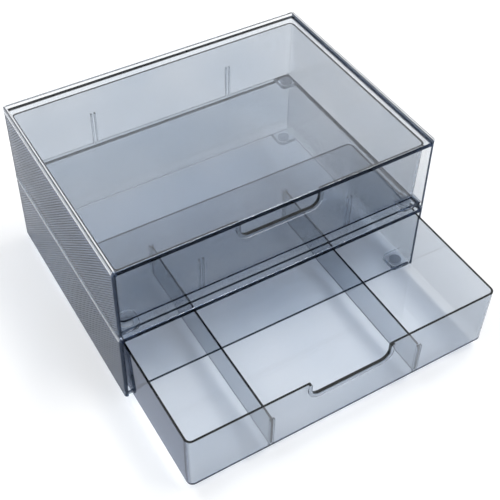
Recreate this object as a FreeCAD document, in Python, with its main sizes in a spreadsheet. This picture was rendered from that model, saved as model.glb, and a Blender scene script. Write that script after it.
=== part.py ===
import FreeCAD, Part
import math
import os
import Sketcher
from FreeCAD import Vector

# A stack of two identical clear desk trays. Each tray is a case, open at the front, with a
# drawer in it. The cases nest: the moulded feet of the upper one stand inside the lip that
# runs round the top of the lower one. Lengths are millimetres.
#
# Frame: +Z up, and the front faces -Y. The origin is on the surface that the feet stand on,
# at the centre of all that the stack covers with its lower drawer pulled out as it is at
# rest. Each sub-part is drawn in its own tray's frame, which is centred on the case and has
# the tray's feet at height 0, and its Placement moves it from there.

SIZES = [
    ("case_width", 316.0, "outside, side to side"),
    ("case_depth", 235.0, "outside, front to back"),
    ("case_wall", 3.2, "side and back walls"),
    ("case_corner_radius", 2.5, "upright outer corners of the case"),
    ("case_edge_bevel", 0.6, "top and bottom outer edges of the case"),
    ("wall_height", 81.9, "bottom edge of the walls to the top of the lip"),
    ("lip_height", 2.8, "lip above the top panel"),
    ("lip_thick", 2.6, "lip, at the sides and back"),
    ("panel_thick", 4.0, "top panel"),
    ("panel_edge_round", 1.4, "front top edge of the top panel"),
    ("bay_corner_radius", 2.5, "upright back corners of the drawer's bay in a case"),
    ("panel_cove", 2.2, "where the top panel meets the side and back walls, in the bay"),
    ("floor_thick", 3.0, "floor of the case"),
    ("floor_rise", 2.5, "floor underside above the bottom edge of the walls"),
    ("floor_set_back", 2.0, "front edge of the floor behind the front of the walls"),
    ("seam_gap", 0.3, "between the walls of two stacked cases"),
    ("foot_block", 19.5, "side of a moulded foot"),
    ("foot_block_round", 5.0, "upright corners of a moulded foot"),
    ("foot_block_gap", 0.6, "moulded foot to the lip it nests in"),
    ("foot_radius", 6.0, "rubber foot"),
    ("foot_thick", 2.5, "rubber foot"),
    ("foot_socket_depth", 1.0, "how deep a rubber foot is let into its moulded foot"),
    ("foot_socket_gap", 0.2, "round a rubber foot in its socket"),
    ("drawer_rim_gap", 4.3, "drawer rim to the underside of the top panel"),
    ("drawer_wall", 2.0, "walls and base of a drawer"),
    ("drawer_taper", 1.2, "degrees that the drawer's walls lean outwards"),
    ("drawer_corner_radius", 6.0, "upright corners of a drawer"),
    ("drawer_base_round", 2.6, "lower edges of a drawer"),
    ("drawer_recess", 6.4, "front of a closed drawer behind the front of the case"),
    ("drawer_side_gap", 0.95, "drawer rim to the case's side wall"),
    ("drawer_rear_gap", 1.6, "closed drawer to the case's back wall"),
    ("drawer_under_gap", 0.3, "drawer above the case's floor"),
    ("lower_drawer_open", 116.3, "how far the lower drawer is pulled out at rest"),
    ("notch_width", 79.0, "finger notch in a drawer's front"),
    ("notch_depth", 17.3, "finger notch"),
    ("notch_bottom_radius", 9.0, "lower corners of the notch"),
    ("notch_shoulder_radius", 2.0, "where the notch meets the rim"),
    ("bead_width", 3.3, "bead round the notch"),
    ("bead_proud", 1.5, "bead in front of the drawer's front"),
    ("divider_spacing", 150.0, "between the middles of the two dividers"),
    ("divider_thick", 2.0, "divider"),
    ("divider_height", 36.0, "divider, above the inside of the drawer"),
    ("divider_round", 3.0, "corners of a divider"),
    ("divider_gap", 0.2, "divider in its channel, each way"),
    ("channel_rib", 1.3, "width of the ribs of a channel"),
    ("channel_reach", 1.5, "how far a channel's ribs stand into the drawer"),
]

CUT_MARGIN = 1.0        # how far a cut runs past the face it opens
WELD = 1.2              # how far an added rib or bead runs into the wall that carries it
TOUCH = 1e-3            # tolerance for finding an edge by its place
SIDES = ("+", "-")

# Places that several pieces share, as expressions of the sheet's cells.
WALL_BASE = "(Sizes.lip_height + Sizes.seam_gap)"
WALL_TOP = f"({WALL_BASE} + Sizes.wall_height)"
UNIT_PITCH = "(Sizes.seam_gap + Sizes.wall_height)"
PANEL_TOP = f"({WALL_TOP} - Sizes.lip_height)"
PANEL_BASE = f"({PANEL_TOP} - Sizes.panel_thick)"
FLOOR_BASE = f"({WALL_BASE} + Sizes.floor_rise)"
FLOOR_TOP = f"({FLOOR_BASE} + Sizes.floor_thick)"
HALF_WIDTH = "(Sizes.case_width / 2)"
FRONT = "(-Sizes.case_depth / 2)"
BACK = "(Sizes.case_depth / 2)"
BAY_HALF = f"({HALF_WIDTH} - Sizes.case_wall)"
BAY_BACK = f"({BACK} - Sizes.case_wall)"

FOOT_X = f"({HALF_WIDTH} - Sizes.lip_thick - Sizes.foot_block_gap - Sizes.foot_block / 2)"
FOOT_Y = f"({BACK} - Sizes.lip_thick - Sizes.foot_block_gap - Sizes.foot_block / 2)"
FOOT_SEAT = "(Sizes.foot_thick)"
FOOT_RIM = "(Sizes.foot_thick - Sizes.foot_socket_depth)"

DRAWER_BASE = f"({FLOOR_TOP} + Sizes.drawer_under_gap)"
DRAWER_RIM = f"({PANEL_BASE} - Sizes.drawer_rim_gap)"
DRAWER_HEIGHT = f"({DRAWER_RIM} - {DRAWER_BASE})"
DRAWER_INSIDE = f"({DRAWER_BASE} + Sizes.drawer_wall)"
DRAWER_LEAN = f"({DRAWER_HEIGHT} * tan(Sizes.drawer_taper))"
DRAWER_HALF = f"({BAY_HALF} - Sizes.drawer_side_gap)"
DRAWER_FRONT = f"({FRONT} + Sizes.drawer_recess)"
DRAWER_BACK = f"({BAY_BACK} - Sizes.drawer_rear_gap)"
# The inside faces of the front and back walls, at the drawer's inside bottom.
INSIDE_LEAN = f"(({DRAWER_HEIGHT} - Sizes.drawer_wall) * tan(Sizes.drawer_taper))"
WALL_ACROSS = "(Sizes.drawer_wall / cos(Sizes.drawer_taper))"
INSIDE_FRONT = f"({DRAWER_FRONT} + {INSIDE_LEAN} + {WALL_ACROSS})"
INSIDE_BACK = f"({DRAWER_BACK} - {INSIDE_LEAN} - {WALL_ACROSS})"
NOTCH_BASE = f"({DRAWER_RIM} - Sizes.notch_depth)"
NOTCH_HALF = "(Sizes.notch_width / 2)"
DIVIDER_TOP = f"({DRAWER_INSIDE} + Sizes.divider_height)"
DIVIDER_LEAN = "(Sizes.divider_height * tan(Sizes.drawer_taper))"

# How far the cases' middle stands behind the origin.
CASE_SHIFT = "((Sizes.lower_drawer_open - Sizes.drawer_recess + Sizes.bead_proud) / 2)"

doc = FreeCAD.newDocument("letter_tray_stack")


def fill_sheet():
    """The driving dimensions, one row each."""
    sheet = doc.addObject("Spreadsheet::Sheet", "Sizes")
    for row, (alias, value, meaning) in enumerate(SIZES, start=1):
        sheet.set(f"A{row}", alias)
        sheet.set(f"B{row}", str(value))
        sheet.set(f"C{row}", meaning)
        sheet.setAlias(f"B{row}", alias)
    doc.recompute()
    return sheet


sheet = fill_sheet()


def value(expression):
    """What an expression of the sheet's cells comes to, in millimetres."""
    result = sheet.evalExpression(expression)
    return float(getattr(result, "Value", result))


def new_body(label):
    body = doc.addObject("PartDesign::Body", label)
    body.Label = label
    return body


def new_sketch(body, name, plane, offset):
    """A sketch on one of the body's origin planes, moved along the plane's normal."""
    sketch = body.newObject("Sketcher::SketchObject", name)
    support = [f for f in body.Origin.OriginFeatures if f.Role == plane][0]
    sketch.AttachmentSupport = [(support, "")]
    sketch.MapMode = "FlatFace"
    sketch.setExpression(".AttachmentOffset.Base.z", offset)
    return sketch


def hold_point(sketch, geometry, end, across, up):
    """Dimension one point of a sketch from the sketch's origin."""
    for kind, place in (("DistanceX", across), ("DistanceY", up)):
        index = sketch.addConstraint(Sketcher.Constraint(kind, -1, 1, geometry, end, value(place)))
        label = f"{kind}_{geometry}"
        sketch.renameConstraint(index, label)
        sketch.setExpression(f"Constraints.{label}", place)


def add_outline(sketch, corners):
    """A closed outline of straight lines, with each corner held by its two expressions."""
    first = sketch.GeometryCount
    count = len(corners)
    points = [Vector(value(across), value(up), 0) for across, up in corners]
    for i in range(count):
        sketch.addGeometry(Part.LineSegment(points[i], points[(i + 1) % count]), False)
    for i in range(count):
        following = first + (i + 1) % count
        sketch.addConstraint(Sketcher.Constraint("Coincident", first + i, 2, following, 1))
    for i, (across, up) in enumerate(corners):
        hold_point(sketch, first + i, 1, across, up)


def add_rectangle(sketch, left, right, low, high):
    add_outline(sketch, [(left, low), (right, low), (right, high), (left, high)])


def add_circle(sketch, across, up, radius):
    circle = Part.Circle(Vector(value(across), value(up), 0), Vector(0, 0, 1), value(radius))
    index = sketch.addGeometry(circle, False)
    hold_point(sketch, index, 3, across, up)
    size = sketch.addConstraint(Sketcher.Constraint("Radius", index, value(radius)))
    sketch.renameConstraint(size, f"radius_{index}")
    sketch.setExpression(f"Constraints.radius_{index}", radius)


def add_trough(sketch, half, low, high, radius):
    """A closed outline with a flat bottom, round lower corners and upright sides."""
    reach, bottom, top, bend = value(half), value(low), value(high), value(radius)
    bend_up, straight = bottom + bend, reach - bend
    corner = [Part.Circle(Vector(x, bend_up, 0), Vector(0, 0, 1), bend) for x in (-straight, straight)]
    edges = [
        Part.LineSegment(Vector(-reach, top, 0), Vector(-reach, bend_up, 0)),
        Part.ArcOfCircle(corner[0], math.pi, 1.5 * math.pi),
        Part.LineSegment(Vector(-straight, bottom, 0), Vector(straight, bottom, 0)),
        Part.ArcOfCircle(corner[1], 1.5 * math.pi, 2 * math.pi),
        Part.LineSegment(Vector(reach, bend_up, 0), Vector(reach, top, 0)),
        Part.LineSegment(Vector(reach, top, 0), Vector(-reach, top, 0)),
    ]
    for edge in edges:
        sketch.addGeometry(edge, False)
    for i in range(4):
        sketch.addConstraint(Sketcher.Constraint("Tangent", i, 2, i + 1, 1))
    sketch.addConstraint(Sketcher.Constraint("Coincident", 4, 2, 5, 1))
    sketch.addConstraint(Sketcher.Constraint("Coincident", 5, 2, 0, 1))
    for kind, line in (("Vertical", 0), ("Horizontal", 2), ("Vertical", 4), ("Horizontal", 5)):
        sketch.addConstraint(Sketcher.Constraint(kind, line))
    sketch.addConstraint(Sketcher.Constraint("Equal", 1, 3))
    dimensions = (
        ("bend", Sketcher.Constraint("Radius", 1, bend), radius),
        ("left", Sketcher.Constraint("DistanceX", -1, 1, 0, 1, -reach), f"-{half}"),
        ("right", Sketcher.Constraint("DistanceX", -1, 1, 4, 2, reach), half),
        ("bottom", Sketcher.Constraint("DistanceY", -1, 1, 2, 1, bottom), low),
        ("top", Sketcher.Constraint("DistanceY", -1, 1, 5, 1, top), high),
    )
    for label, constraint, expression in dimensions:
        sketch.renameConstraint(sketch.addConstraint(constraint), label)
        sketch.setExpression(f"Constraints.{label}", expression)


def pad(body, name, sketch, length, taper=None, down=False):
    before = body.Shape.Volume if body.Tip else 0.0
    feature = body.newObject("PartDesign::Pad", name)
    feature.Profile = sketch
    feature.setExpression("Length", length)
    feature.Reversed = down
    if taper:
        feature.setExpression("TaperAngle", taper)
    doc.recompute()
    if body.Shape.Volume <= before:
        raise RuntimeError(f"{body.Label}: {name} adds nothing")
    return feature


def pocket(body, name, sketch, length, taper=None, up=False):
    before = body.Shape.Volume
    feature = body.newObject("PartDesign::Pocket", name)
    feature.Profile = sketch
    feature.setExpression("Length", length)
    feature.Reversed = up
    if taper:
        feature.setExpression("TaperAngle", taper)
    doc.recompute()
    if body.Shape.Volume >= before:
        raise RuntimeError(f"{body.Label}: {name} cuts nothing")
    return feature


def fillet(body, name, radius, chosen):
    """Round the edges of the body's last feature that the function chosen picks."""
    base = body.Tip
    edges = [f"Edge{i}" for i, edge in enumerate(base.Shape.Edges, start=1) if chosen(edge)]
    if not edges:
        raise RuntimeError(f"{body.Label}: {name} finds no edge")
    feature = body.newObject("PartDesign::Fillet", name)
    feature.Base = (base, edges)
    feature.setExpression("Radius", radius)
    doc.recompute()
    return feature


def bevel(body, name, size, chosen):
    """Bevel the edges of the body's last feature that the function chosen picks."""
    base = body.Tip
    edges = [f"Edge{i}" for i, edge in enumerate(base.Shape.Edges, start=1) if chosen(edge)]
    if not edges:
        raise RuntimeError(f"{body.Label}: {name} finds no edge")
    feature = body.newObject("PartDesign::Chamfer", name)
    feature.Base = (base, edges)
    feature.setExpression("Size", size)
    doc.recompute()
    return feature


def near(a, b):
    return abs(a - b) < TOUCH


def is_upright(edge):
    """Whether an edge rises from its lower end to its upper end nearly straight up."""
    box = edge.BoundBox
    return box.ZLength > 4 * max(box.XLength, box.YLength)


def is_level_at(edge, height):
    return near(edge.BoundBox.ZMin, height) and near(edge.BoundBox.ZMax, height)


def signed(sign, place):
    return f"({sign}{place})"


def make_case(label):
    """One case: side and back walls, floor, top panel with a lip, and four moulded feet."""
    body = new_body(label)

    block = new_sketch(body, "Footprint", "XY_Plane", WALL_BASE)
    add_rectangle(block, f"-{HALF_WIDTH}", HALF_WIDTH, FRONT, BACK)
    pad(body, "Block", block, "Sizes.wall_height")
    fillet(body, "UprightCorners", "Sizes.case_corner_radius", is_upright)
    top, bottom = value(WALL_TOP), value(WALL_BASE)
    bevel(body, "OuterEdges", "Sizes.case_edge_bevel",
          lambda edge: is_level_at(edge, top) or is_level_at(edge, bottom))

    bay = new_sketch(body, "BayOutline", "XZ_Plane", f"-{FRONT}")
    add_rectangle(bay, f"-{BAY_HALF}", BAY_HALF, FLOOR_TOP, PANEL_BASE)
    pocket(body, "Bay", bay, "Sizes.case_depth - Sizes.case_wall")
    front, bay_back, panel_base = value(FRONT), value(BAY_BACK), value(PANEL_BASE)
    fillet(body, "BayCorners", "Sizes.bay_corner_radius",
           lambda edge: is_upright(edge) and near(edge.BoundBox.YMin, bay_back))
    fillet(body, "PanelCove", "Sizes.panel_cove",
           lambda edge: is_level_at(edge, panel_base) and not near(edge.BoundBox.YMax, front))

    lip = new_sketch(body, "LipOutline", "XY_Plane", WALL_TOP)
    inside = f"({HALF_WIDTH} - Sizes.lip_thick)"
    add_rectangle(lip, f"-{inside}", inside, f"{FRONT} - {CUT_MARGIN}", f"{BACK} - Sizes.lip_thick")
    pocket(body, "LipRecess", lip, "Sizes.lip_height")

    under = new_sketch(body, "UndersideOutline", "XY_Plane", FLOOR_BASE)
    add_rectangle(under, f"-{BAY_HALF}", BAY_HALF, f"{FRONT} - {CUT_MARGIN}", BAY_BACK)
    pocket(body, "UndersideRecess", under, "Sizes.floor_rise")

    step = new_sketch(body, "FloorStepOutline", "XZ_Plane", f"-{FRONT}")
    add_rectangle(step, f"-{BAY_HALF}", BAY_HALF,
                  f"{FLOOR_BASE} - {CUT_MARGIN}", f"{FLOOR_TOP} + {CUT_MARGIN}")
    pocket(body, "FloorStep", step, "Sizes.floor_set_back")

    panel_top = value(PANEL_TOP)
    fillet(body, "PanelFrontEdge", "Sizes.panel_edge_round",
           lambda edge: is_level_at(edge, panel_top) and near(edge.BoundBox.YMin, front)
           and near(edge.BoundBox.YMax, front))
    add_moulded_feet(body)
    return body


def add_moulded_feet(body):
    """Four square feet under the floor, each with a round socket for its rubber foot."""
    blocks = new_sketch(body, "FeetOutline", "XY_Plane", FLOOR_BASE)
    half = "Sizes.foot_block / 2"
    for side in SIDES:
        for end in SIDES:
            across, along = signed(side, FOOT_X), signed(end, FOOT_Y)
            add_rectangle(blocks, f"{across} - {half}", f"{across} + {half}",
                          f"{along} - {half}", f"{along} + {half}")
    pad(body, "Feet", blocks, f"{FLOOR_BASE} - {FOOT_RIM}", down=True)
    rim, root = value(FOOT_RIM), value(FLOOR_BASE)
    fillet(body, "FeetCorners", "Sizes.foot_block_round",
           lambda edge: is_upright(edge) and near(edge.BoundBox.ZMin, rim) and near(edge.BoundBox.ZMax, root))

    sockets = new_sketch(body, "SocketOutline", "XY_Plane", FOOT_RIM)
    for side in SIDES:
        for end in SIDES:
            add_circle(sockets, signed(side, FOOT_X), signed(end, FOOT_Y),
                       "Sizes.foot_radius + Sizes.foot_socket_gap")
    pocket(body, "Sockets", sockets, "Sizes.foot_socket_depth", up=True)


def make_foot(label, side, end):
    """One rubber foot, a flat disc, at one corner of a case."""
    body = new_body(label)
    disc = new_sketch(body, "DiscOutline", "XY_Plane", FOOT_SEAT)
    add_circle(disc, signed(side, FOOT_X), signed(end, FOOT_Y), "Sizes.foot_radius")
    pad(body, "Disc", disc, "Sizes.foot_thick", down=True)
    return body


def make_drawer(label):
    """One drawer: a leaning, round-cornered tub with a beaded finger notch in its front."""
    body = new_body(label)

    base = new_sketch(body, "BaseOutline", "XY_Plane", DRAWER_BASE)
    half = f"({DRAWER_HALF} - {DRAWER_LEAN})"
    add_rectangle(base, f"-{half}", half, f"{DRAWER_FRONT} + {DRAWER_LEAN}", f"{DRAWER_BACK} - {DRAWER_LEAN}")
    pad(body, "Tub", base, DRAWER_HEIGHT, taper="Sizes.drawer_taper")
    fillet(body, "TubCorners", "Sizes.drawer_corner_radius", is_upright)
    low = value(DRAWER_BASE)
    fillet(body, "TubLowerEdges", "Sizes.drawer_base_round", lambda edge: is_level_at(edge, low))
    hollow_tub(body)
    add_notch(body)
    add_channels(body)
    return body


def hollow_tub(body):
    """Open the tub at its rim, with the inside faces leaning as the outside ones do."""
    mouth = new_sketch(body, "MouthOutline", "XY_Plane", DRAWER_RIM)
    half = f"({DRAWER_HALF} - {WALL_ACROSS})"
    add_rectangle(mouth, f"-{half}", half, f"{DRAWER_FRONT} + {WALL_ACROSS}", f"{DRAWER_BACK} - {WALL_ACROSS}")
    pocket(body, "Hollow", mouth, f"{DRAWER_HEIGHT} - Sizes.drawer_wall", taper="-Sizes.drawer_taper")
    inside, rim = value(DRAWER_INSIDE), value(DRAWER_RIM)
    fillet(body, "HollowCorners", "Sizes.drawer_corner_radius - Sizes.drawer_wall",
           lambda edge: is_upright(edge) and near(edge.BoundBox.ZMin, inside) and near(edge.BoundBox.ZMax, rim))


def add_notch(body):
    """The finger notch, with a bead that stands out in front of the wall around it."""
    proud = f"(-{DRAWER_FRONT} + Sizes.bead_proud)"
    plate = new_sketch(body, "BeadOutline", "XZ_Plane", proud)
    outer, foot = f"({NOTCH_HALF} + Sizes.bead_width)", f"({NOTCH_BASE} - Sizes.bead_width)"
    add_trough(plate, outer, foot, DRAWER_RIM, "Sizes.notch_bottom_radius + Sizes.bead_width")
    pad(body, "Bead", plate, f"Sizes.bead_proud + {WELD}", down=True)

    notch = new_sketch(body, "NotchOutline", "XZ_Plane", f"{proud} + {CUT_MARGIN}")
    add_trough(notch, NOTCH_HALF, NOTCH_BASE, f"({DRAWER_RIM} + {CUT_MARGIN})", "Sizes.notch_bottom_radius")
    pocket(body, "Notch", notch,
           f"{CUT_MARGIN} + Sizes.bead_proud + {INSIDE_LEAN} + {WALL_ACROSS} + {CUT_MARGIN}")
    rim, half = value(DRAWER_RIM), value(NOTCH_HALF)
    fillet(body, "NotchShoulders", "Sizes.notch_shoulder_radius",
           lambda edge: is_across_corner(edge, rim) and near(abs(edge.CenterOfMass.x), half))


def is_across_corner(edge, height):
    """Whether an edge runs straight through the drawer's front at one height."""
    box = edge.BoundBox
    through = box.YLength > TOUCH and box.XLength < TOUCH
    return through and is_level_at(edge, height) and edge.CenterOfMass.y < value(INSIDE_FRONT)


def add_channels(body):
    """Pairs of ribs on the front and back walls that hold the ends of the dividers."""
    ribs = new_sketch(body, "ChannelOutline", "XY_Plane", f"{DRAWER_INSIDE} - {WELD}")
    slot = "(Sizes.divider_thick / 2 + Sizes.divider_gap)"
    ends = (
        (f"{INSIDE_FRONT} - {WELD}", f"{INSIDE_FRONT} + Sizes.channel_reach"),
        (f"{INSIDE_BACK} - Sizes.channel_reach", f"{INSIDE_BACK} + {WELD}"),
    )
    for low, high in ends:
        for side in SIDES:
            near_face = f"Sizes.divider_spacing / 2 {side} {slot}"
            far_face = f"Sizes.divider_spacing / 2 {side} ({slot} + Sizes.channel_rib)"
            left, right = (near_face, far_face) if side == "+" else (far_face, near_face)
            add_rectangle(ribs, left, right, low, high)
    right_side = pad(body, "Channels", ribs, f"Sizes.divider_height + {WELD}")

    before = body.Shape.Volume
    mirror = body.newObject("PartDesign::Mirrored", "ChannelsOtherSide")
    plane = [f for f in body.Origin.OriginFeatures if f.Role == "YZ_Plane"][0]
    mirror.Originals = [right_side]
    mirror.MirrorPlane = (plane, [""])
    body.Tip = mirror
    doc.recompute()
    if body.Shape.Volume <= before:
        raise RuntimeError(f"{body.Label}: the channels are not mirrored")


def make_divider(label, side):
    """One divider: a plate whose ends lean with the drawer's front and back walls."""
    body = new_body(label)
    middle = signed(side, "(Sizes.divider_spacing / 2)")
    plate = new_sketch(body, "PlateOutline", "YZ_Plane", f"{middle} - Sizes.divider_thick / 2")
    front = f"({INSIDE_FRONT} + Sizes.divider_gap)"
    back = f"({INSIDE_BACK} - Sizes.divider_gap)"
    add_outline(plate, [
        (front, DRAWER_INSIDE),
        (back, DRAWER_INSIDE),
        (f"{back} + {DIVIDER_LEAN}", DIVIDER_TOP),
        (f"{front} - {DIVIDER_LEAN}", DIVIDER_TOP),
    ])
    pad(body, "Plate", plate, "Sizes.divider_thick")
    fillet(body, "PlateCorners", "Sizes.divider_round",
           lambda edge: near(edge.BoundBox.XLength, value("Sizes.divider_thick")))
    return body


def place(body, pulled="", height=""):
    """Move a sub-part from its own tray's frame to where it stands at rest."""
    body.setExpression("Placement.Base.y", CASE_SHIFT + pulled)
    if height:
        body.setExpression("Placement.Base.z", height)
    return body


def make_feet(tray, height):
    corners = (("front_left", "-", "-"), ("front_right", "+", "-"),
               ("back_left", "-", "+"), ("back_right", "+", "+"))
    return [place(make_foot(f"{tray}_foot_{corner}", side, end), height=height)
            for corner, side, end in corners]


def make_stack():
    pulled_out = " - Sizes.lower_drawer_open"
    parts = [
        place(make_case("lower_case")),
        place(make_drawer("lower_drawer"), pulled=pulled_out),
        place(make_divider("divider_left", "-"), pulled=pulled_out),
        place(make_divider("divider_right", "+"), pulled=pulled_out),
        place(make_case("upper_case"), height=UNIT_PITCH),
        place(make_drawer("upper_drawer"), height=UNIT_PITCH),
    ]
    parts += make_feet("lower", "")
    parts += make_feet("upper", UNIT_PITCH)
    doc.recompute()
    return parts


def check(parts):
    """Stop on anything that FreeCAD left failed, empty or invalid."""
    for item in doc.Objects:
        if {"Invalid", "Error"} & set(item.State):
            raise RuntimeError(f"{item.Label} failed: {item.State}")
    for part in parts:
        if part.Shape.isNull() or not part.Shape.isValid() or len(part.Shape.Solids) != 1:
            raise RuntimeError(f"{part.Label} is not one valid solid")


def export(parts):
    os.makedirs("parts", exist_ok=True)
    for part in parts:
        part.Shape.exportStep(f"parts/{part.Label}.step")
        box = part.Shape.BoundBox
        print(f"{part.Label:24s} volume {part.Shape.Volume / 1000:8.2f} cm3"
              f"  x {box.XMin:8.2f} {box.XMax:8.2f}"
              f"  y {box.YMin:8.2f} {box.YMax:8.2f}  z {box.ZMin:8.2f} {box.ZMax:8.2f}")


stack = make_stack()
check(stack)
export(stack)
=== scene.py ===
import math

import bmesh
import bpy
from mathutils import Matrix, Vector


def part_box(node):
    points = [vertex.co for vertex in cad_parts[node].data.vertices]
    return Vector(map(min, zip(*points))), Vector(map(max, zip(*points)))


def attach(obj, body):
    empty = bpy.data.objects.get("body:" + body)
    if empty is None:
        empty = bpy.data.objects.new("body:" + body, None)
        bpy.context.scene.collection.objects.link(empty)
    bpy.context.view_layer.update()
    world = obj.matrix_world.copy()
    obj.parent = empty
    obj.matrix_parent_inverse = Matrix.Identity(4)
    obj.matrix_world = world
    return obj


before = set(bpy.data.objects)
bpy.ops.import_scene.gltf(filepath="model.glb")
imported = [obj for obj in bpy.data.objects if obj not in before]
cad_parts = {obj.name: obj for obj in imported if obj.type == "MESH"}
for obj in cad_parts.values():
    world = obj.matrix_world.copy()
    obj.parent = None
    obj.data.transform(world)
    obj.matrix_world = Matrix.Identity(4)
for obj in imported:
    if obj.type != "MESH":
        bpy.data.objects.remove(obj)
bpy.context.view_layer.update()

MM = 0.001
CASES = ("lower_case", "upper_case")

# Sizes of the cases and drawers that the materials find their places by.
WALL = 3.2 * MM
LIP_HEIGHT = 2.8 * MM
LIP_THICK = 2.6 * MM
FRONT_DEPTH = 3 * MM            # the front edges lie within this of the front plane
PANEL_ZONE = 10 * MM            # the top panel lies within this of the top of the lip
# The painted shade along the bottom edge of a drawer's front lies within these of its front and its
# bottom.
DRAWER_FRONT_DEPTH = 9 * MM
DRAWER_EDGE_HEIGHT = 3.2 * MM
# Depth of the painted highlight along the lip tops.
PAINTED_HIGHLIGHT_DEPTH = 0.6 * MM

# Limits on a face's outwardness, which is near its distance from the middle plane on a side wall.
FACES_IN = -20 * MM
FACES_OUT = 100 * MM
SIDE_RAMP = (90 * MM, 150 * MM)     # the drawers' painted side shade comes in between these

# Ribs and bead on the outside of the cases' side walls.
RIB_PITCH = 2.2 * MM
RIB_SLOPE = 0.9                 # fall for each step back
RIB_HEIGHT = 0.14 * MM
RIB_SUNK = 0.25 * MM
RIB_DROPS = (80.4 * MM, 4.7 * MM)       # their lowest and highest places, below the top of the lip
RIB_MARGINS = (1.5 * MM, 3.5 * MM)      # from the case's front and back
RIB_REACH = 160 * MM            # half the ribbed sheet before it is cut to the wall
RIB_STEPS = 4                   # facets for each rib
BEAD_RADIUS = 0.65 * MM
BEAD_SUNK = 0.15 * MM
BEAD_DROP = 4.0 * MM
BEAD_MARGINS = (1.2 * MM, 2.5 * MM)
BEAD_STEPS = 12

# Colours and densities of the plastic, and the painted shade and highlights laid on it.
SMOKE = (0.085, 0.18, 0.30)
CASE_DENSITY = 35.0
DRAWER_DENSITY = 178.0
RIB_DENSITY = 36.0
BEAD_DENSITY = 20.0

# Painted shade on the front edges: the top panel's edge, and the walls' front ends and the edges below
# the panel.
SLAB_EDGE_PAINTED_SHADE = (0.30, 0.37, 0.52)
WALL_END_PAINTED_SHADE = (0.52, 0.60, 0.74)
# Painted shade on the inner faces of the side lips.
INNER_LIP_PAINTED_SHADE = (0.26, 0.29, 0.34)
# Painted shade along the bottom edge of a drawer's front.
BASE_EDGE_PAINTED_SHADE = (0.10, 0.14, 0.24)
# Painted shade on the outside of the drawers' side walls.
DRAWER_SIDE_PAINTED_SHADE = (0.60, 0.62, 0.67)
LIP_HAZE = 0.9
# Painted highlight along the inner half of the side lips' tops.
LIP_PAINTED_HIGHLIGHT = 0.75
RIB_HAZE = 0.56
FROST = (0.95, 0.96, 0.98, 1)

# The floor's own brightness where it is seen, near the object and far from it.
FLOOR_GLOW_NEAR = 0.28
FLOOR_GLOW_FAR = 0.62


# Materials

def new_material(name):
    """An empty node material, its node tree and its output."""
    material = bpy.data.materials.new(name)
    material.use_nodes = True
    material.node_tree.nodes.clear()
    output = material.node_tree.nodes.new("ShaderNodeOutputMaterial")
    return material, material.node_tree, output


def add_node(tree, kind, inputs=None, **settings):
    """A node with its settings, and its inputs set to numbers or linked to other sockets."""
    node = tree.nodes.new(kind)
    for name, value in settings.items():
        setattr(node, name, value)
    for key, value in (inputs or {}).items():
        if isinstance(value, bpy.types.NodeSocket):
            tree.links.new(value, node.inputs[key])
        else:
            node.inputs[key].default_value = value
    return node


def noise(tree, scale, detail=2.0, seed=0.0):
    """Smooth noise over the object's own coordinates, about 0.3 to 0.7."""
    place = add_node(tree, "ShaderNodeTexCoord").outputs["Object"]
    shift = add_node(tree, "ShaderNodeVectorMath", {0: place, 1: (seed, seed, seed)}, operation="ADD")
    return add_node(tree, "ShaderNodeTexNoise", {
        "Vector": shift.outputs[0], "Scale": scale, "Detail": detail}).outputs["Fac"]


def ranged(tree, value, low, high, from_low=0.3, from_high=0.7):
    """A number mapped from one range to another and kept inside it."""
    node = add_node(tree, "ShaderNodeMapRange", {
        "Value": value, "From Min": from_low, "From Max": from_high, "To Min": low, "To Max": high})
    return node.outputs["Result"]


def blend_colours(tree, factor, first, second):
    """From the first colour at 0 to the second at 1; each is a colour or another node's socket."""
    first, second = (c if isinstance(c, bpy.types.NodeSocket) else (*c, 1) for c in (first, second))
    node = add_node(tree, "ShaderNodeMix", {"Factor": factor, "A": first, "B": second}, data_type="RGBA")
    return node.outputs["Result"]


def maths(tree, operation, first, second):
    """One step of arithmetic on two numbers or sockets."""
    return add_node(tree, "ShaderNodeMath", {0: first, 1: second}, operation=operation).outputs[0]


def outwardness(tree):
    """How far a face looks away from the object's middle plane, to its left or right, in metres."""
    place = add_node(tree, "ShaderNodeTexCoord")
    within = add_node(tree, "ShaderNodeVectorMath", {0: place.outputs["Object"], 1: (1, 0, 0)},
                      operation="MULTIPLY")
    dot = add_node(tree, "ShaderNodeVectorMath", {0: within.outputs[0], 1: place.outputs["Normal"]},
                   operation="DOT_PRODUCT")
    return dot.outputs["Value"]


def split_coordinate(tree, name):
    """A surface point's place ("Object") or its facing direction ("Normal"), split into X, Y and Z."""
    place = add_node(tree, "ShaderNodeTexCoord")
    return add_node(tree, "ShaderNodeSeparateXYZ", {0: place.outputs[name]}).outputs


def varying_tint(tree, scale, first, second):
    """A colour that wanders between two others."""
    return blend_colours(tree, ranged(tree, noise(tree, scale), 0.0, 1.0), first, second)


def mix_shaders(tree, factor, first, second):
    """The first shader at 0 and the second at 1."""
    return add_node(tree, "ShaderNodeMixShader", {0: factor, 1: first, 2: second}).outputs[0]


def moulded_bump(tree, waviness):
    """The slight waviness of a moulded surface."""
    return add_node(tree, "ShaderNodeBump", {
        "Height": noise(tree, 45.0, seed=3.1), "Strength": waviness, "Distance": 0.5 * MM}).outputs[0]


def clear_tint(tree):
    """Next to no surface colour, because the plastic takes its colour from the light's way inside it."""
    return varying_tint(tree, 9.0, (1, 1, 1), (0.965, 0.975, 0.985))


def clear_body(tree, colour, rough_high=0.03):
    """Clear plastic with a little variation in its polish."""
    rough = ranged(tree, noise(tree, 25.0, 4.0, seed=7.7), 0.0, rough_high)
    return add_node(tree, "ShaderNodeBsdfGlass", {
        "Color": colour, "IOR": 1.5, "Roughness": rough, "Normal": moulded_bump(tree, 0.03)}).outputs[0]


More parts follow.
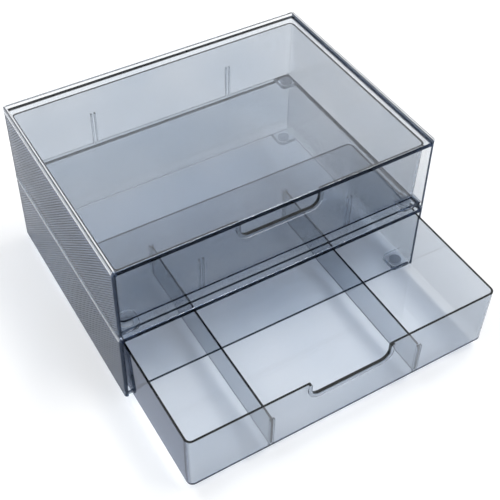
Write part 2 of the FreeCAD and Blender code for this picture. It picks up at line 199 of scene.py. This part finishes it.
def finish_plastic(tree, output, surface, density):
    """Let lamp light through, and tint what passes inside the plastic."""
    through = add_node(tree, "ShaderNodeBsdfTransparent", {"Color": (0.87, 0.885, 0.905, 1)}).outputs[0]
    path = add_node(tree, "ShaderNodeLightPath")
    shaded = mix_shaders(tree, path.outputs["Is Shadow Ray"], surface, through)
    tree.links.new(shaded, output.inputs["Surface"])
    absorb = add_node(tree, "ShaderNodeVolumeAbsorption", {"Color": (*SMOKE, 1), "Density": density})
    tree.links.new(absorb.outputs[0], output.inputs["Volume"])


def clear_plastic(name, density):
    """Plain clear plastic."""
    material, tree, output = new_material(name)
    finish_plastic(tree, output, clear_body(tree, clear_tint(tree)), density)
    return material


def frosted(tree, matt_colour, glow_colour, glow_share):
    """Matt plastic that also lets light glow through."""
    matt = add_node(tree, "ShaderNodeBsdfDiffuse", {"Color": matt_colour}).outputs[0]
    glow = add_node(tree, "ShaderNodeBsdfTranslucent", {"Color": glow_colour}).outputs[0]
    return mix_shaders(tree, glow_share, matt, glow)


def drawer_plastic(drawer):
    """Clear plastic with painted shade outside the side walls and along the bottom edge of the front."""
    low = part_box(drawer)[0]
    material, tree, output = new_material(f"smoke_blue_{drawer}")
    spot, facing = split_coordinate(tree, "Object"), split_coordinate(tree, "Normal")
    # Painted shade along the bottom edge of the front.
    base = maths(tree, "LESS_THAN", spot["Z"], low.z + DRAWER_EDGE_HEIGHT)
    outer = maths(tree, "MULTIPLY", maths(tree, "LESS_THAN", spot["Y"], low.y + DRAWER_FRONT_DEPTH),
                  maths(tree, "LESS_THAN", facing["Y"], -0.3))
    painted_shade_edge = maths(tree, "MULTIPLY", base, outer)
    # Painted shade outside the side walls, coming in with the distance from the middle plane.
    sides = ranged(tree, outwardness(tree), 0.0, 1.0, *SIDE_RAMP)
    tint_and_painted_shade = blend_colours(tree, sides, clear_tint(tree), DRAWER_SIDE_PAINTED_SHADE)
    tint_and_painted_shade = blend_colours(tree, painted_shade_edge, tint_and_painted_shade, BASE_EDGE_PAINTED_SHADE)
    finish_plastic(tree, output, clear_body(tree, tint_and_painted_shade), DRAWER_DENSITY)
    return material


def case_plastic(case):
    """Clear plastic with painted shade on its front edges and inside its side lips, frosted outside those
    lips, and with a painted highlight along the inner half of their tops."""
    low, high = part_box(case)
    material, tree, output = new_material(f"smoke_blue_{case}")
    spot, facing = split_coordinate(tree, "Object"), split_coordinate(tree, "Normal")
    across = add_node(tree, "ShaderNodeMath", {0: spot["X"]}, operation="ABSOLUTE").outputs[0]
    outward = outwardness(tree)

    # Painted shade on the front edges: darkest on the top panel's edge, less dark on the walls' front
    # ends and the edges below the panel.
    front = maths(tree, "MULTIPLY", maths(tree, "LESS_THAN", spot["Y"], low.y + FRONT_DEPTH),
                  maths(tree, "LESS_THAN", facing["Y"], -0.5))
    wall = maths(tree, "GREATER_THAN", across, high.x - WALL)
    below_panel = maths(tree, "LESS_THAN", spot["Z"], high.z - PANEL_ZONE)
    front_painted_shade = blend_colours(tree, maths(tree, "MAXIMUM", wall, below_panel),
                               SLAB_EDGE_PAINTED_SHADE, WALL_END_PAINTED_SHADE)
    lip = maths(tree, "GREATER_THAN", spot["Z"], high.z - LIP_HEIGHT)
    inside_lip = maths(tree, "MULTIPLY", lip, maths(tree, "LESS_THAN", outward, FACES_IN))
    outside_lip = maths(tree, "MULTIPLY", lip, maths(tree, "GREATER_THAN", outward, FACES_OUT))
    tint_and_painted_shade = blend_colours(tree, front, clear_tint(tree), front_painted_shade)
    # Painted shade on the inner faces of the side lips.
    tint_and_painted_shade = blend_colours(tree, inside_lip, tint_and_painted_shade, INNER_LIP_PAINTED_SHADE)
    haze = maths(tree, "MULTIPLY", outside_lip, LIP_HAZE)
    surface = mix_shaders(tree, haze, clear_body(tree, tint_and_painted_shade),
                          frosted(tree, (0.35, 0.37, 0.40, 1), FROST, 0.9))

    # Painted highlight: a pale frosted line along the inner half of the side lips' tops.
    inner_half = maths(tree, "MULTIPLY", maths(tree, "GREATER_THAN", across, high.x - LIP_THICK),
                       maths(tree, "LESS_THAN", across, high.x - LIP_THICK / 2))
    top = maths(tree, "GREATER_THAN", spot["Z"], high.z - PAINTED_HIGHLIGHT_DEPTH)
    painted_highlight = maths(tree, "MULTIPLY", maths(tree, "MULTIPLY", top, inner_half), LIP_PAINTED_HIGHLIGHT)
    surface = mix_shaders(tree, painted_highlight, surface, frosted(tree, (0.92, 0.93, 0.95, 1), FROST, 0.2))
    finish_plastic(tree, output, surface, CASE_DENSITY)
    return material


def rib_phase(tree):
    """0 in the grooves and 1 on the crests of the slanting ribs."""
    spot = split_coordinate(tree, "Object")
    added = maths(tree, "ADD", maths(tree, "MULTIPLY", spot["Y"], RIB_SLOPE), spot["Z"])
    angle = maths(tree, "MULTIPLY", added, 2 * math.pi / (RIB_PITCH * math.hypot(1, RIB_SLOPE)))
    wave = add_node(tree, "ShaderNodeMath", {0: angle}, operation="COSINE")
    return ranged(tree, wave.outputs[0], 0.0, 1.0, -1.0, 1.0)


def rib_plastic():
    """Ribbed plastic: its outer faces are a little frosted, in stripes that follow the ribs: painted
    shade, dark in the grooves and paler on the crests.
    """
    material, tree, output = new_material("ribbed_smoke_blue")
    crest = rib_phase(tree)
    # Painted shade: the frost is dark in the grooves and paler on the crests.
    matt = blend_colours(tree, crest, (0.01, 0.02, 0.04), (0.30, 0.36, 0.47))
    glow = blend_colours(tree, crest, (0.08, 0.11, 0.18), (0.31, 0.37, 0.49))
    outer = maths(tree, "GREATER_THAN", outwardness(tree), 0.0)
    haze = maths(tree, "MULTIPLY", outer, RIB_HAZE)
    body = clear_body(tree, clear_tint(tree), 0.05)
    surface = mix_shaders(tree, haze, body, frosted(tree, matt, glow, 0.5))
    finish_plastic(tree, output, surface, RIB_DENSITY)
    return material


def bead_highlight_plastic():
    """Pale frosted plastic, a painted highlight along the bead."""
    material, tree, output = new_material("bead_painted_highlight")
    # Painted highlight: a near-white colour for the bead.
    colour = varying_tint(tree, 60.0, (0.93, 0.94, 0.96), (0.99, 0.99, 1.0))
    body = clear_body(tree, clear_tint(tree), 0.05)
    surface = mix_shaders(tree, 0.9, body, frosted(tree, colour, colour, 0.3))
    finish_plastic(tree, output, surface, BEAD_DENSITY)
    return material


def clear_rubber():
    """Soft see-through rubber with a fine grain."""
    material, tree, output = new_material("clear_rubber")
    grain = add_node(tree, "ShaderNodeBump", {
        "Height": noise(tree, 1500.0, 3.0), "Strength": 0.2, "Distance": 0.2 * MM})
    surface = add_node(tree, "ShaderNodeBsdfPrincipled", {
        "Base Color": varying_tint(tree, 300.0, (0.66, 0.69, 0.73), (0.76, 0.79, 0.82)),
        "Roughness": ranged(tree, noise(tree, 900.0, 4.0), 0.32, 0.55),
        "Normal": grain.outputs[0],
        "Alpha": 0.32})
    tree.links.new(surface.outputs[0], output.inputs["Surface"])
    return material


def finish_nodes():
    """Give each CAD node its material, by a word in its name."""
    finishes = {
        "lower_case": case_plastic("lower_case"),
        "upper_case": case_plastic("upper_case"),
        "lower_drawer": drawer_plastic("lower_drawer"),
        "upper_drawer": drawer_plastic("upper_drawer"),
        "divider_": clear_plastic("smoke_blue_divider", DRAWER_DENSITY),
        "_foot_": clear_rubber(),
    }
    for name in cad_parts:
        material = next(finish for word, finish in finishes.items() if word in name)
        for slot in bpy.data.objects[name].material_slots:
            slot.material = material


# Pieces of thin trim and fine texture

def extruded_prism(bm, section, start, end):
    """A closed prism: a section of 3-D points at start, repeated at end."""
    low = [bm.verts.new(Vector(p) + Vector(start)) for p in section]
    high = [bm.verts.new(Vector(p) + Vector(end)) for p in section]
    count = len(section)
    for i in range(count):
        j = (i + 1) % count
        bm.faces.new((low[i], low[j], high[j], high[i]))
    bm.faces.new(list(reversed(low)))
    bm.faces.new(high)


def keep_side(bm, point, normal):
    """Cut a closed mesh by a plane, drop what is in front of it and close the cut."""
    geometry = bm.verts[:] + bm.edges[:] + bm.faces[:]
    bmesh.ops.bisect_plane(bm, geom=geometry, dist=1e-7, plane_co=point, plane_no=normal,
                           clear_outer=True)
    open_edges = [e for e in bm.edges if e.is_boundary]
    bmesh.ops.holes_fill(bm, edges=open_edges, sides=0)


def piece_from(bm, name, material, body):
    """Turn a mesh into a named piece that rides on a body."""
    bmesh.ops.recalc_face_normals(bm, faces=bm.faces)
    mesh = bpy.data.meshes.new(name)
    bm.to_mesh(mesh)
    bm.free()
    piece = bpy.data.objects.new(name, mesh)
    bpy.context.scene.collection.objects.link(piece)
    mesh.materials.append(material)
    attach(piece, body)


def side_word(side):
    """The name of the side at -1 or 1 along X."""
    return "left" if side < 0 else "right"


def side_ribs(case, side, material):
    """Fine ribs that slant down towards the back, on one side wall below the bead.

    They are drawn as one ribbed sheet that is larger than the wall, and then cut to it."""
    corner, top_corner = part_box(case)
    low, high = (top_corner.z - drop for drop in RIB_DROPS)
    front, back = corner.y + RIB_MARGINS[0], top_corner.y - RIB_MARGINS[1]
    across = Vector((0, RIB_SLOPE, 1)).normalized()
    along = Vector((0, 1, -RIB_SLOPE)).normalized()
    out = Vector((side, 0, 0))
    start = Vector((side * top_corner.x, 0, 0))
    centre = Vector((0, (front + back) / 2, (low + high) / 2))
    first = round((centre.dot(across) - RIB_REACH) / RIB_PITCH)
    last = round((centre.dot(across) + RIB_REACH) / RIB_PITCH)
    slide = along * centre.dot(along)
    top = []
    for i in range(first * RIB_STEPS, last * RIB_STEPS + 1):
        rise = RIB_HEIGHT * (0.5 + 0.5 * math.cos(2 * math.pi * i / RIB_STEPS))
        top.append(start + across * (i * RIB_PITCH / RIB_STEPS) + slide + out * rise)
    base = [start + across * (end * RIB_PITCH) + slide - out * RIB_SUNK for end in (last, first)]
    bm = bmesh.new()
    extruded_prism(bm, top + base, along * -RIB_REACH, along * RIB_REACH)
    keep_side(bm, (0, front, 0), (0, -1, 0))
    keep_side(bm, (0, back, 0), (0, 1, 0))
    keep_side(bm, (0, 0, low), (0, 0, -1))
    keep_side(bm, (0, 0, high), (0, 0, 1))
    piece_from(bm, f"{case}_ribs_{side_word(side)}", material, case)


def side_bead(case, side, material):
    """The smooth half-round bead above the ribs, a little below the top panel's surface."""
    corner, top_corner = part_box(case)
    middle = Vector((side * (top_corner.x - BEAD_SUNK), 0, top_corner.z - BEAD_DROP))
    section = []
    for i in range(BEAD_STEPS + 1):
        turn = math.pi * (i / BEAD_STEPS - 0.5)
        section.append(middle + Vector((side * math.cos(turn) * BEAD_RADIUS, 0,
                                        math.sin(turn) * BEAD_RADIUS)))
    bm = bmesh.new()
    start, end = corner.y + BEAD_MARGINS[0], top_corner.y - BEAD_MARGINS[1]
    extruded_prism(bm, section, (0, start, 0), (0, end, 0))
    piece_from(bm, f"{case}_bead_{side_word(side)}", material, case)


def dress_sides():
    """Ribs and a bead on both side walls of both cases."""
    ribs, bead = rib_plastic(), bead_highlight_plastic()
    for case in CASES:
        for side in (-1, 1):
            side_ribs(case, side, ribs)
            side_bead(case, side, bead)


# Studio

def seen_directly(tree):
    """1 for rays from the camera, and for those that gloss or clear plastic sends on, and otherwise 0."""
    path = add_node(tree, "ShaderNodeLightPath")
    direct = maths(tree, "MAXIMUM", path.outputs["Is Camera Ray"], path.outputs["Is Glossy Ray"])
    return maths(tree, "MAXIMUM", direct, path.outputs["Is Transmission Ray"])


def add_floor():
    """A plain pale floor under the feet, which takes the object's shadow and looks white around it."""
    bpy.ops.mesh.primitive_plane_add(size=8, location=(0, 0, -0.5 * MM))
    floor = bpy.context.object
    floor.name = "floor"
    material, tree, output = new_material("floor")
    paint = add_node(tree, "ShaderNodeBsdfDiffuse", {"Color": (0.8, 0.8, 0.8, 1)})
    place = add_node(tree, "ShaderNodeTexCoord").outputs["Object"]
    distance = add_node(tree, "ShaderNodeVectorMath", {0: place}, operation="LENGTH").outputs["Value"]
    strength = ranged(tree, distance, FLOOR_GLOW_NEAR, FLOOR_GLOW_FAR, 0.3, 2.5)
    glow = add_node(tree, "ShaderNodeEmission", {
        "Strength": maths(tree, "MULTIPLY", strength, seen_directly(tree))})
    both = add_node(tree, "ShaderNodeAddShader", {0: paint.outputs[0], 1: glow.outputs[0]})
    tree.links.new(both.outputs[0], output.inputs["Surface"])
    floor.data.materials.append(material)


def add_world():
    """A soft sky for light, and plain white where the camera, gloss or the clear plastic sees it."""
    world = bpy.data.worlds.new("studio")
    bpy.context.scene.world = world
    world.use_nodes = True
    tree = world.node_tree
    tree.nodes.clear()
    output = tree.nodes.new("ShaderNodeOutputWorld")
    light = add_node(tree, "ShaderNodeBackground", {"Color": (0.97, 0.985, 1, 1), "Strength": 0.55})
    white = add_node(tree, "ShaderNodeBackground", {"Color": (1, 1, 1, 1), "Strength": 1.0})
    sky = mix_shaders(tree, seen_directly(tree), light.outputs[0], white.outputs[0])
    tree.links.new(sky, output.inputs["Surface"])


def area_light(name, place, size, power):
    """A soft box that is aimed at the middle of the object."""
    lamp = bpy.data.lights.new(name, "AREA")
    lamp.shape = "RECTANGLE"
    lamp.size, lamp.size_y = size
    lamp.energy = power
    rig = bpy.data.objects.new(name, lamp)
    bpy.context.scene.collection.objects.link(rig)
    rig.location = place
    aim = Vector((0, 0, 80 * MM)) - Vector(place)
    rig.rotation_euler = aim.to_track_quat("-Z", "Y").to_euler()
    rig.visible_transmission = False


def add_camera():
    """The view that a fit to the corners of the cases and drawers gave."""
    data = bpy.data.cameras.new("camera")
    camera = bpy.data.objects.new("camera", data)
    bpy.context.scene.collection.objects.link(camera)
    bpy.context.scene.camera = camera
    data.sensor_width = 36.0
    data.lens = 72.46
    data.shift_x = 0.020
    data.shift_y = -0.150
    data.clip_start = 0.01
    data.clip_end = 50
    camera.location = (-0.33862, -0.55727, 0.7453)
    camera.rotation_euler = [math.radians(a) for a in (47.469, -0.431, -30.372)]


finish_nodes()
dress_sides()
add_floor()
add_world()
area_light("key_light", (1.20, -0.54, 3.12), (2.2, 0.5), 54)
area_light("rim_light", (-1.00, 2.30, 2.42), (1.8, 0.8), 40)
add_camera()

scene = bpy.context.scene
scene.view_settings.view_transform = "Standard"
scene.cycles.max_bounces = 40
scene.cycles.transmission_bounces = 40
scene.cycles.glossy_bounces = 8
scene.cycles.diffuse_bounces = 3
scene.cycles.transparent_max_bounces = 64
